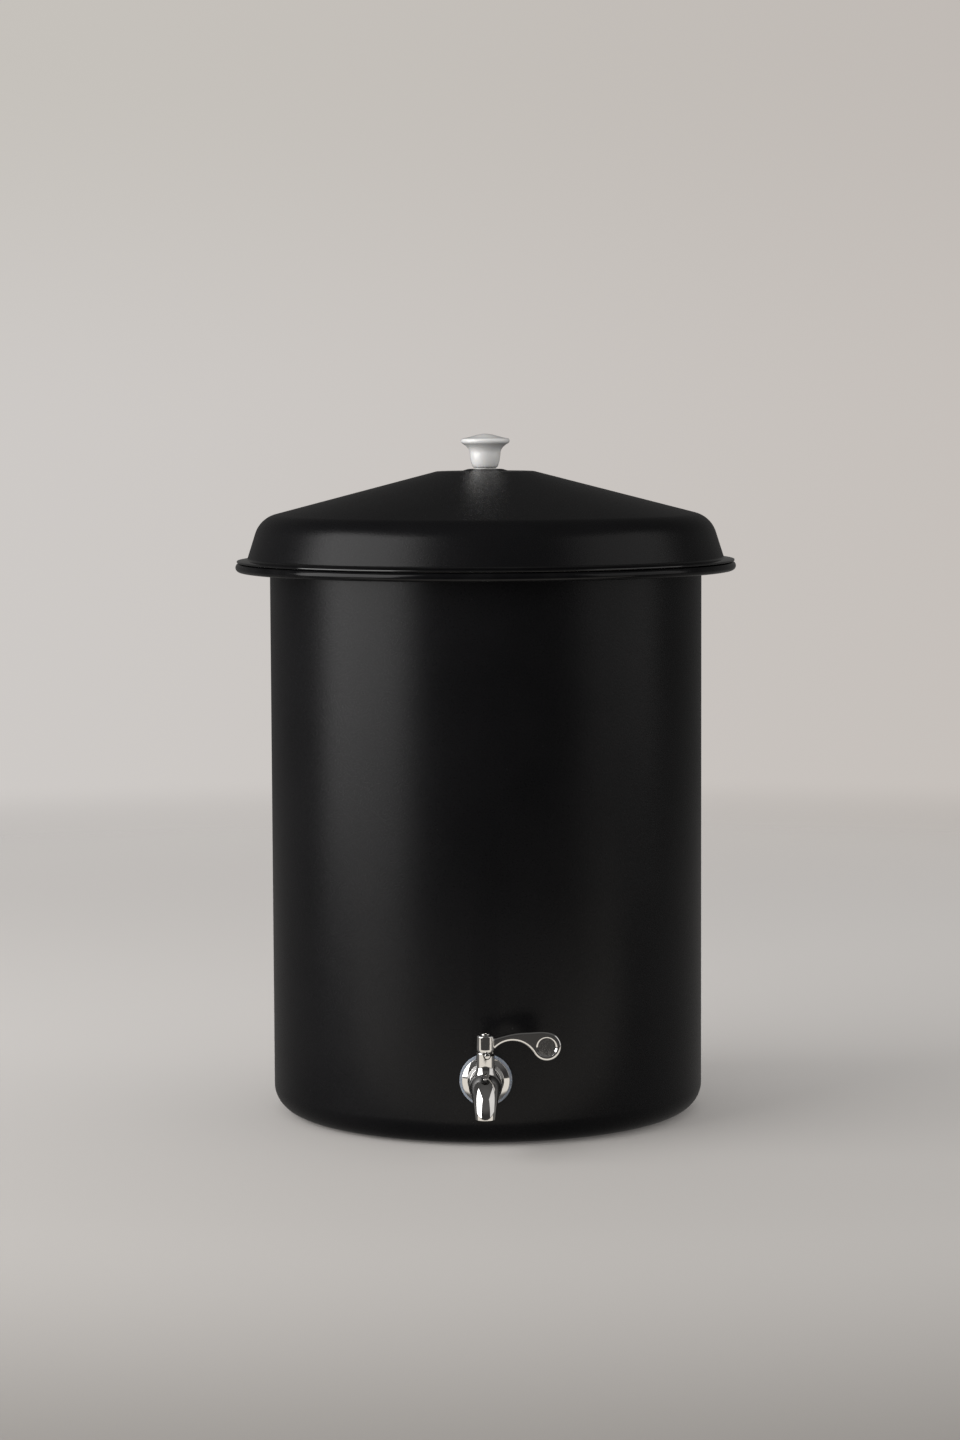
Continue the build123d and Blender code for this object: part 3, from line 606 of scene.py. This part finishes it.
def fused(name, pieces, grid, passes):
    """Joins closed shapes into one skin on a fine grid and softens it."""
    bpy.ops.object.select_all(action="DESELECT")
    for piece in pieces:
        piece.select_set(True)
    bpy.context.view_layer.objects.active = pieces[0]
    bpy.ops.object.join()
    whole = bpy.context.object
    skin = whole.modifiers.new("skin", "REMESH")
    skin.mode = "VOXEL"
    skin.voxel_size = grid * mm
    soften = whole.modifiers.new("soften", "SMOOTH")
    soften.factor = 0.5
    soften.iterations = passes
    apply_all(whole)
    whole.name = name
    whole.data.name = name
    return whole


def leaned(middle, radius, degrees):
    """A point of a circle by its angle up from the right."""
    turn = math.radians(degrees)
    return (middle[0] + radius * math.cos(turn), middle[1] + radius * math.sin(turn))


def turned_on_stem(name, section, steps):
    """A section drawn as radius and height, spun about the stem's upright axis."""
    chain = drawn(name, [(radius, stem_y, height) for radius, height in section])
    return spun(chain, steps, (0, 0, 1), (0, stem_y, 0))


def raised(outline, way):
    """Fills a drawn outline and extrudes it along a way in millimetres."""
    pick(outline)
    bpy.ops.object.mode_set(mode="EDIT")
    bpy.ops.mesh.select_all(action="SELECT")
    bpy.ops.mesh.edge_face_add()
    bpy.ops.mesh.extrude_region_move(TRANSFORM_OT_translate={"value": Vector(way) * mm})
    bpy.ops.mesh.select_all(action="SELECT")
    bpy.ops.mesh.normals_make_consistent(inside=False)
    bpy.ops.object.mode_set(mode="OBJECT")
    return outline


def wedge(name, start, end, reach, low, high):
    """A slice of a round cake about the stem's axis, between two angles from the right, anticlockwise."""
    rim = [leaned((0.0, stem_y), reach, start + (end - start) * step / 8) for step in range(9)]
    return raised(drawn(name, [(x, y, low) for x, y in [(0.0, stem_y), *rim]]), (0.0, 0.0, high - low))


def on_bend(step):
    """The middle of the spout's section after so many steps of its bend."""
    swing = math.radians(90.0 * step / bend_steps)
    axis = Vector((0.0, -(wall_radius + housing), tap_level - bend_radius))
    return (axis + Vector((0.0, -math.sin(swing), math.cos(swing))) * bend_radius) * mm


def spout_radius(step):
    """The spout narrows slowly at first, evenly down the bend, and a little more just before its mouth."""
    third = 3 * step / bend_steps
    return 10.58 - 0.9916 * third - 0.4001 * third**2 + 0.0917 * third**3 - 0.6 * max(0.0, third - 2.2) ** 2


ball_start = housing - math.sqrt(housing_radius**2 - barrel_radius**2)
ball_turn = -math.acos(-(housing - ball_start) / housing_radius)
ball_arc = arc((housing, 0.0), (ball_start, barrel_radius), ball_turn, 4.0)
barrel_line = [(flange_front, 0.0), (flange_front, boss_radius), (boss_end, barrel_radius), *ball_arc[:-1]]
barrel = turned_on_tap("barrel", [*barrel_line, (housing + housing_radius, 0.0)])

bpy.ops.object.select_all(action="DESELECT")
bpy.ops.mesh.primitive_circle_add(
    vertices=128,
    radius=spout_radius(0) * mm,
    fill_type="NGON",
    location=Vector(out(housing)) * mm,
    rotation=(math.radians(90.0), 0.0, 0.0),
)
bpy.ops.object.mode_set(mode="EDIT")
bpy.ops.mesh.select_all(action="SELECT")
for step in range(bend_steps):
    here = on_bend(step + 1)
    narrowing = spout_radius(step + 1) / spout_radius(step)
    bpy.ops.mesh.extrude_region_move(TRANSFORM_OT_translate={"value": here - on_bend(step)})
    bpy.ops.transform.rotate(value=math.radians(-90.0 / bend_steps), orient_axis="X", center_override=here)
    bpy.ops.transform.resize(value=(narrowing, narrowing, narrowing), center_override=here)
bpy.ops.mesh.select_all(action="SELECT")
bpy.ops.mesh.normals_make_consistent(inside=False)
bpy.ops.object.mode_set(mode="OBJECT")
spout = settle(bpy.context.object, "spout")

flare = arc((neck_radius + flare_radius, flare_level), flare_foot, -math.radians(flare_bend), 4.0)
neck_line = [(0.0, tap_level), (flare_foot[0], tap_level), *flare, (neck_radius, neck_top - neck_chamfer),
             (neck_radius - neck_chamfer, neck_top), (0.0, neck_top)]
neck = turned_on_stem("neck", neck_line, 96)
tap_body = fused("tap_body_casting", [barrel, spout, neck], 0.3, 8)

# the way in is stepped for the shank's seal, the spigot, the ball with its seats, and the spout's own bore
press_gap = 0.03
ring_room = 1.2
ball_room = 7.35
seat_end = housing + 7.4
seat_bore = 3.6
way_in = turned_on_tap(
    "way_in",
    [(0.0, 0.0), (0.0, spigot_radius + ring_room + press_gap),
     (flange_front + ring_room, spigot_radius + ring_room + press_gap),
     (flange_front + ring_room, spigot_radius + press_gap), (spigot_end, spigot_radius + press_gap),
     (spigot_end, ball_room), (seat_end, ball_room), (seat_end, seat_bore), (housing + 10.0, seat_bore),
     (housing + 10.0, 0.0)],
    64,
)
collar_room = 3.95
collar_top = 55.15
neck_clear = neck_top + 1.5
stem_way = turned_on_stem(
    "stem_way",
    [(0.0, tap_level), (collar_room, tap_level), (collar_room, collar_top), (stem_bore, collar_top),
     (stem_bore, neck_clear), (0.0, neck_clear)],
    64,
)
outlet_bore = 4.2
outlet = bar(outlet_bore, (0, outlet_y + 2.0, 20), (0, outlet_y + 7.0, 42), 64)
level_cut = bar(20, (0, outlet_y, 10), (0, outlet_y, outlet_level), 64)
vent_radius = 0.9
vent_lean = math.radians(50.0)
vent_mouth = Vector((0.0, stem_y - 7.0, tap_level + 10.0))
vent_line = Vector((0.0, math.sin(vent_lean), -math.cos(vent_lean)))
vent = bar(vent_radius, vent_mouth - vent_line * 4.0, vent_mouth + vent_line * 4.5, 32)

# the recess for the lever's tab runs round the top of the neck from the pin to the back right
pin_aside = 12.0
pin_level = 67.6
recess_floor = 67.0
recess_wall = 4.6
recess = wedge("recess", pin_aside - 90.0, 90.0 - pin_aside, 12.0, recess_floor, neck_clear)
cut_away(recess, bar(recess_wall, (0, stem_y, 60), (0, stem_y, 75)))

# the pin's seat is a plain hole with a wider, flat countersink round its head
pin_radius = 1.9
pin_inner = 3.6
pin_outer = 7.25
sink_radius = 2.6
sink_start = 1.85
pin_line = Vector((math.sin(math.radians(pin_aside)), -math.cos(math.radians(pin_aside)), 0.0))
pin_root = Vector((0.0, stem_y, pin_level)) + pin_line * pin_inner
pin_tip = Vector((0.0, stem_y, pin_level)) + pin_line * pin_outer
pin_steps = [(-0.5, 0.0), (-0.5, pin_radius + press_gap), (sink_start, pin_radius + press_gap),
             (sink_start, sink_radius), (5.0, sink_radius), (5.0, 0.0)]
pin_seat = spun(
    drawn("pin_seat", [pin_root + pin_line * reach + Vector((0.0, 0.0, rise)) for reach, rise in pin_steps]),
    60, pin_line, pin_root,
)
cut_away(tap_body, way_in, stem_way, outlet, level_cut, vent, recess, pin_seat)
smooth(tap_body, 38.0)
tap_body.data.materials.append(polished)

# the cut recess and the pin's countersink aren't polished, so they keep a dull skin, whose very dark colour
# is painted shade in the recess
shaded_dull_cut, shaded_dull_skin = finish_of("unpolished_steel_painted_shade", (0.09, 0.085, 0.08), 0.5, 1.0)
shaded_dull_tints = ((0.06, 0.056, 0.052), (0.13, 0.125, 0.118))
fine_skin(shaded_dull_cut, shaded_dull_skin, 1400.0, shaded_dull_tints, wear=(0.42, 0.58), depth=0.02, strength=0.4)
# painted shade: the faces in the recess round the pin get the very dark steel
paint_faces(
    tap_body, shaded_dull_cut, lambda spot: 64.9 < spot.z < 69.3 and math.hypot(spot.x, spot.y - stem_y) < 5.97
)
stands_for(tap_body, "vessel", "polished_steel", "tap_body")

# ---- Stop pin ---------------------------------------------------------------------------------------------
# A short hardened pin pressed into the top of the neck, a little to the right of the front.
# A tab under the lever's hub meets it when the tap is full open, and the end of its recess when it is shut.


def round_edges(piece, width, segments=4, angle=60.0):
    """Rounds the edges of a piece that are sharper than an angle."""
    ease = piece.modifiers.new("edge", "BEVEL")
    ease.width = width * mm
    ease.segments = segments
    ease.limit_method = "ANGLE"
    ease.angle_limit = math.radians(angle)
    apply_all(piece)


stop_pin = bar(pin_radius, pin_root, pin_tip, 64)
round_edges(stop_pin, 0.6)
settle(stop_pin, "stop_pin_pressed")
smooth(stop_pin, 40.0)
stop_pin.data.materials.append(polished)
stands_for(stop_pin, "vessel", "polished_steel", "stop_pin")

# ---- Tap lever --------------------------------------------------------------------------------------------
# A polished stainless casting: a round hub that sits on the stem, and a flat upright blade that arches out
# of it, swells and ends in a round thumb pad with a shallow plain medallion on its front face.
hub_low = 69.7
hub_high = 80.8
hub_radius = 6.1
blade_thickness = 4.2
blade_front = stem_y - blade_thickness / 2
blade_lean = 2.0
pad = (40.8, 73.0)
pad_radius = 9.6
pad_under = 211.0
pad_over = 63.0
arch = (18.2, 60.7)
arch_radius = 16.0
arch_leave = 50.0
arch_foot_x = 6.7
crest_top = (26.6, 82.6)
root_x = 4.0
root_top = 77.9


def swept(start, start_way, end, end_way, count=10):
    """A smooth line between two flat points that leaves and arrives along two directions."""
    start, end = Vector(start), Vector(end)
    pull = (end - start).length
    points = []
    for index in range(1, count):
        share = index / count
        points.append(tuple(
            start * (2 * share**3 - 3 * share**2 + 1)
            + Vector(start_way).normalized() * pull * (share**3 - 2 * share**2 + share)
            + end * (3 * share**2 - 2 * share**3)
            + Vector(end_way).normalized() * pull * (share**3 - share**2)
        ))
    return points + [tuple(end)]


def along(degrees):
    """The direction square to a circle's spoke, anticlockwise."""
    turn = math.radians(degrees)
    return (-math.sin(turn), math.cos(turn))


arch_start = math.degrees(math.acos((arch_foot_x - arch[0]) / arch_radius))
arch_bend = math.radians(arch_leave - arch_start)
arch_line = arc(arch, leaned(arch, arch_radius, arch_start), arch_bend, 5.0)
clockwise = along(arch_leave - 180.0)
under = swept(arch_line[-1], clockwise, leaned(pad, pad_radius, pad_under), along(pad_under))
rim_bend = math.radians(pad_over + 360.0 - pad_under)
pad_rim = arc(pad, leaned(pad, pad_radius, pad_under), rim_bend, 5.0)
crest = swept(pad_rim[-1], along(pad_over), crest_top, (-1.0, 0.0))
ridge = swept(crest_top, (-1.0, 0.0), (root_x, root_top), (-1.0, -0.3))
edge_line = arch_line + under + pad_rim[1:] + crest + ridge + [(root_x, arch_line[0][1])]
blade = drawn("blade", [(x, blade_front, z) for x, z in edge_line])
raised(blade, (0.0, blade_thickness, 0.0))
bpy.ops.object.mode_set(mode="EDIT")
bpy.ops.mesh.select_all(action="SELECT")
bpy.ops.transform.rotate(
    value=math.radians(blade_lean), orient_axis="X", center_override=Vector((0.0, stem_y, pad[1])) * mm
)
bpy.ops.object.mode_set(mode="OBJECT")
round_edges(blade, 1.4, 5, 50.0)

hub = turned_on_stem(
    "hub",
    [(0.0, hub_low), (hub_radius - 0.4, hub_low), (hub_radius, hub_low + 1.4), (5.8, hub_high - 0.8),
     (5.0, hub_high), (0.0, hub_high)],
    96,
)
tab = wedge("tab", pin_aside, 90.0 - pin_aside, hub_radius, recess_floor + 0.2, hub_low + 0.6)
cut_away(
    tab,
    bar(recess_wall + 0.2, (0, stem_y, 60), (0, stem_y, 75)),
    bar(pin_radius + 0.35, (0, stem_y, pin_level), (11.7, stem_y + 2.5, pin_level)),
)
lever = fused("tap_lever_casting", [hub, blade, tab], 0.2, 5)

medallion_line = [(0.0, -6.0), (7.4, -6.0), (7.0, -2.1), (5.9, -1.6), (0.0, -1.6)]
medallion = spun(
    drawn("medallion", [(pad[0] + radius, stem_y + depth, pad[1]) for radius, depth in medallion_line]),
    96, (0, 1, 0), (pad[0], 0, pad[1]),
)
washer_room = 3.63
cut_away(
    lever,
    medallion,
    bar(stem_bore, (0, stem_y, hub_low - 1), (0, stem_y, hub_high + 1), 64),
    bar(washer_room, (0, stem_y, hub_high - 0.5), (0, stem_y, hub_high + 1), 64),
)
smooth(lever, 18.0)
lever.data.materials.append(polished)
stands_for(lever, "tap_handle", "polished_steel", "tap_lever")

# ---- Lever screw ------------------------------------------------------------------------------------------
# A low domed socket screw that clamps the lever down on the stem, over a thin spring washer.
# The screw and its washer are bought-in stainless fixings.
screw_head = 2.9
head_height = 0.9
socket_across = 1.15
screw = bar(screw_head, (0, stem_y, hub_high), (0, stem_y, hub_high + head_height), 64)
round_edges(screw, 0.6)
cut_away(screw, bar(socket_across, (0, stem_y, hub_high + 0.25), (0, stem_y, hub_high + 2), 6))
settle(screw, "lever_screw_head")
smooth(screw, 40.0)
screw.data.materials.append(polished)
stands_for(screw, "tap_handle", "polished_steel", "lever_screw")

# ---- Filter ring and filter pot ---------------------------------------------------------------------------
# The clay pot is thrown and fired without glaze, so that water seeps through its wall.
# It hangs by its lip in a moulded plastic ring, whose collar centres it in the vessel's mouth.
ring_under = mouth_level + 0.2
lip_under = ring_under + 2.0
lip_top = lip_under + 14.0
lip_radius = 158.8
lip_round = 4.6
pot_foot = 176.0
pot_floor = 192.0
pot_foot_radius = 118.0
pot_floor_radius = 103.0
pot_neck_radius = 147.2
pot_mouth_radius = 132.2
pot_steps = 192

clay, bisque = finish_of("porous_red_clay", (0.4, 0.17, 0.09), 0.88)
body_grain = grain(clay, 35.0, 6.0)
pores = grain(clay, 900.0)
rings = grain(clay, 30.0, 2.0, (0.15, 0.15, 4.0))
clay_colour = tinted(clay, body_grain, (0.34, 0.135, 0.07), (0.46, 0.21, 0.115))
coloured(clay, bisque, tinted(clay, pores, (0.22, 0.085, 0.05), clay_colour, 0.3, 0.42))
worn(clay, bisque, body_grain, 0.82, 0.95)
relief(clay, bisque, pores, 0.35, 0.5, relief(clay, bisque, rings, 0.8, 0.35))

pot_section = rounded(
    [(0.0, pot_foot), (pot_foot_radius, pot_foot), (pot_neck_radius, lip_under), (lip_radius, lip_under),
     (lip_radius, lip_top), (pot_mouth_radius, lip_top), (pot_floor_radius, pot_floor), (0.0, pot_floor)],
    [9.0, 0.6, 0.6, lip_round, lip_round, 14.0],
)
pot = turned("clay_filter_pot", pot_section, pot_steps)
smooth(pot)
pot.data.materials.append(clay)
stands_for(pot, "filter_unit", "filter_pot", "filter_pot")

moulded, satin = finish_of("moulded_grey_plastic", (0.6, 0.62, 0.62), 0.42)
sheen_spots = grain(moulded, 500.0)
flow = grain(moulded, 9.0)
coloured(moulded, satin, tinted(moulded, flow, (0.57, 0.59, 0.59), (0.63, 0.65, 0.65)))
worn(moulded, satin, sheen_spots, 0.38, 0.5)
relief(moulded, satin, sheen_spots, 0.04, 0.25)

collar_bore = 148.0
collar_radius = 150.2
collar_foot = ring_under - 12.0
hem_radius = 161.3
hem_bore = 159.1
hem_top = lip_under + 5.0
ring_section = rounded(
    [(collar_bore, collar_foot), (collar_radius, collar_foot), (collar_radius, ring_under),
     (hem_radius, ring_under), (hem_radius, hem_top), (hem_bore, hem_top), (hem_bore, lip_under),
     (collar_bore, lip_under), (collar_bore, collar_foot)],
    [0.4, 0.3, 0.3, 0.7, 0.7, 0.3, 0.3],
    15.0,
)
ring = turned("moulded_filter_ring", ring_section, pot_steps)
smooth(ring)
ring.data.materials.append(moulded)
stands_for(ring, "filter_unit", "filter_ring", "filter_ring")

# ---- Lid --------------------------------------------------------------------------------------------------
# Drawn steel in one piece: raised pad under the knob, shallow cone, round shoulder, leaning skirt and a
# sloping brim that rests on the vessel's rolled rim. Matt black coating, with the brim in gloss black.
screw_hole = 2.06
crown_top = 451.292
crown_flat = 34.4
seat_top = crown_top + 1.6
seat_flat = 12.0
seat_foot = 17.5
shoulder = (158.757, 418.9)
shoulder_round = 20.0
skirt_foot = (167.9, 390.2518)
brim_edge = (175.3, 389.2118)
brim_from = 167.2
brim_top = 391.2

lid_skin = rounded(
    [(screw_hole, seat_top), (seat_flat, seat_top), (seat_foot, crown_top), (crown_flat, crown_top),
     shoulder, skirt_foot, brim_edge],
    [6.0, 6.0, 6.0, shoulder_round, 2.4],
    5.0,
)
lid = turned("lid_shell", lid_skin)
thicken(lid)
round_edges(lid, 0.4, 3)
smooth(lid)
lid.data.materials.append(matt_black)
paint_faces(
    lid,
    black_enamel("gloss_black_enamel", 0.06, 0.9),
    lambda spot: math.hypot(spot.x, spot.y) > brim_from and spot.z < brim_top,
)
stands_for(lid, "lid_assembly", "lid", "lid")

# ---- Lid knob ---------------------------------------------------------------------------------------------
# White glazed porcelain: narrow foot, a stem that flares to a wide, gently domed cap. It sits on a thin
# silicone washer, and a brass insert cemented in its foot takes the screw from inside the lid.
glaze, glass = finish_of("white_porcelain_glaze", (0.78, 0.775, 0.76), 0.3)
glass.inputs["Coat Weight"].default_value = 0.8
glass.inputs["Coat Roughness"].default_value = 0.05
glass.inputs["Subsurface Weight"].default_value = 0.08
glass.inputs["Subsurface Radius"].default_value = (0.004, 0.003, 0.002)
pooling = grain(glaze, 55.0)
pinholes = grain(glaze, 700.0, 1.0)
glaze_colour = tinted(glaze, pooling, (0.76, 0.755, 0.74), (0.80, 0.795, 0.785))
coloured(glaze, glass, tinted(glaze, pinholes, (0.6, 0.58, 0.54), glaze_colour, 0.2, 0.26))
worn(glaze, glass, pooling, 0.26, 0.36)
relief(glaze, glass, pooling, 0.12, 0.2)

knob_foot = seat_top + 0.8
foot_edge = (7.3, 0.0)
heel_top = (9.0, 1.2)
stem_top = (10.8, 10.5)
cap_under = (16.4, 17.2)
cap_edge = (17.2, 18.85)
cap_top = (16.4, 20.5)
dome_top = (0.0, 23.8)
insert_hole = 3.63
insert_depth = 13.03
knob_line = [(0.0, 0.0), foot_edge]
knob_line += swept(foot_edge, (1.0, 0.0), heel_top, (0.35, 0.94), 5)
knob_line += swept(heel_top, (0.35, 0.94), stem_top, (0.05, 1.0), 8)
knob_line += swept(stem_top, (0.05, 1.0), cap_under, (1.0, 0.5), 10)
knob_line += swept(cap_under, (0.5, 0.5), cap_edge, (0.0, 1.0), 5)
knob_line += swept(cap_edge, (0.0, 1.0), cap_top, (-0.5, 0.5), 5)
knob_line += swept(cap_top, (-1.0, 0.12), dome_top, (-1.0, 0.0), 14)
knob = turned("porcelain_knob", [(radius, knob_foot + height) for radius, height in knob_line], 96)
cut_away(knob, bar(insert_hole, (0, 0, knob_foot - 1), (0, 0, knob_foot + insert_depth), 64))
smooth(knob, 50.0)
knob.data.materials.append(glaze)
stands_for(knob, "lid_assembly", "lid_knob", "lid_knob")

# ---- Fixings, seals and valve parts that keep their solids ------------------------------------------------
# Bought-in nuts, washers, screws and O-rings, and the ball, stem and soft seats inside the tap.
# They are turned, stamped or moulded to size, so their solids are already the whole shape.


def lathe_finish(name, colour, stain_scale, stain_detail, first, second, low, high):
    """Turned metal: fine tool marks round the piece, and a stain that clouds its colour."""
    finish, shader = finish_of(name, colour, 0.3, 1.0)
    tool_marks = grain(finish, 700.0, 2.0, (1.0, 1.0, 6.0))
    stain = grain(finish, stain_scale, stain_detail)
    coloured(finish, shader, tinted(finish, stain, first, second))
    worn(finish, shader, tool_marks, low, high)
    relief(finish, shader, tool_marks, 0.03, 0.35)
    return finish


turned_steel = lathe_finish(
    "turned_stainless", (0.56, 0.56, 0.55), 90.0, 3.0, (0.5, 0.5, 0.49), (0.62, 0.615, 0.6), 0.22, 0.4
)
brass = lathe_finish(
    "turned_brass", (0.72, 0.5, 0.2), 120.0, 4.0, (0.56, 0.36, 0.13), (0.78, 0.56, 0.25), 0.24, 0.42
)

rubber, rubber_skin = finish_of("black_seal_rubber", (0.02, 0.02, 0.02), 0.62)
rubber_tints = ((0.014, 0.014, 0.014), (0.03, 0.03, 0.031))
fine_skin(rubber, rubber_skin, 1200.0, rubber_tints, wear=(0.55, 0.72), depth=0.04, strength=0.3)

slippery, slip_skin = finish_of("white_valve_plastic", (0.8, 0.8, 0.77), 0.38)
slip_tints = ((0.76, 0.76, 0.72), (0.83, 0.83, 0.8))
fine_skin(slippery, slip_skin, 800.0, slip_tints, wear=(0.33, 0.46), depth=0.03, strength=0.25)

milky, milky_skin = finish_of("milky_silicone", (0.66, 0.66, 0.64), 0.5)
milky_skin.inputs["Subsurface Weight"].default_value = 0.2
milky_skin.inputs["Subsurface Radius"].default_value = (0.003, 0.003, 0.003)
milky_tints = ((0.62, 0.62, 0.6), (0.7, 0.7, 0.68))
fine_skin(milky, milky_skin, 300.0, milky_tints, wear=(0.44, 0.58), depth=0.05, strength=0.25)

kept = {
    "knob_insert": brass,
    "knob_seat_washer": milky,
    "knob_inner_washer": turned_steel,
    "knob_screw": turned_steel,
    "tap_inner_seal": silicone,
    "tap_washer": turned_steel,
    "tap_nut": turned_steel,
    "shank_seal": rubber,
    "valve_seat_inlet": slippery,
    "valve_seat_outlet": slippery,
    "valve_ball": polished,
    "valve_stem": turned_steel,
    "stem_rings": rubber,
    "stem_thrust_washer": slippery,
    "lever_washer": turned_steel,
}
for node, finish in kept.items():
    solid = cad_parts[node]
    solid.data.materials.clear()
    solid.data.materials.append(finish)
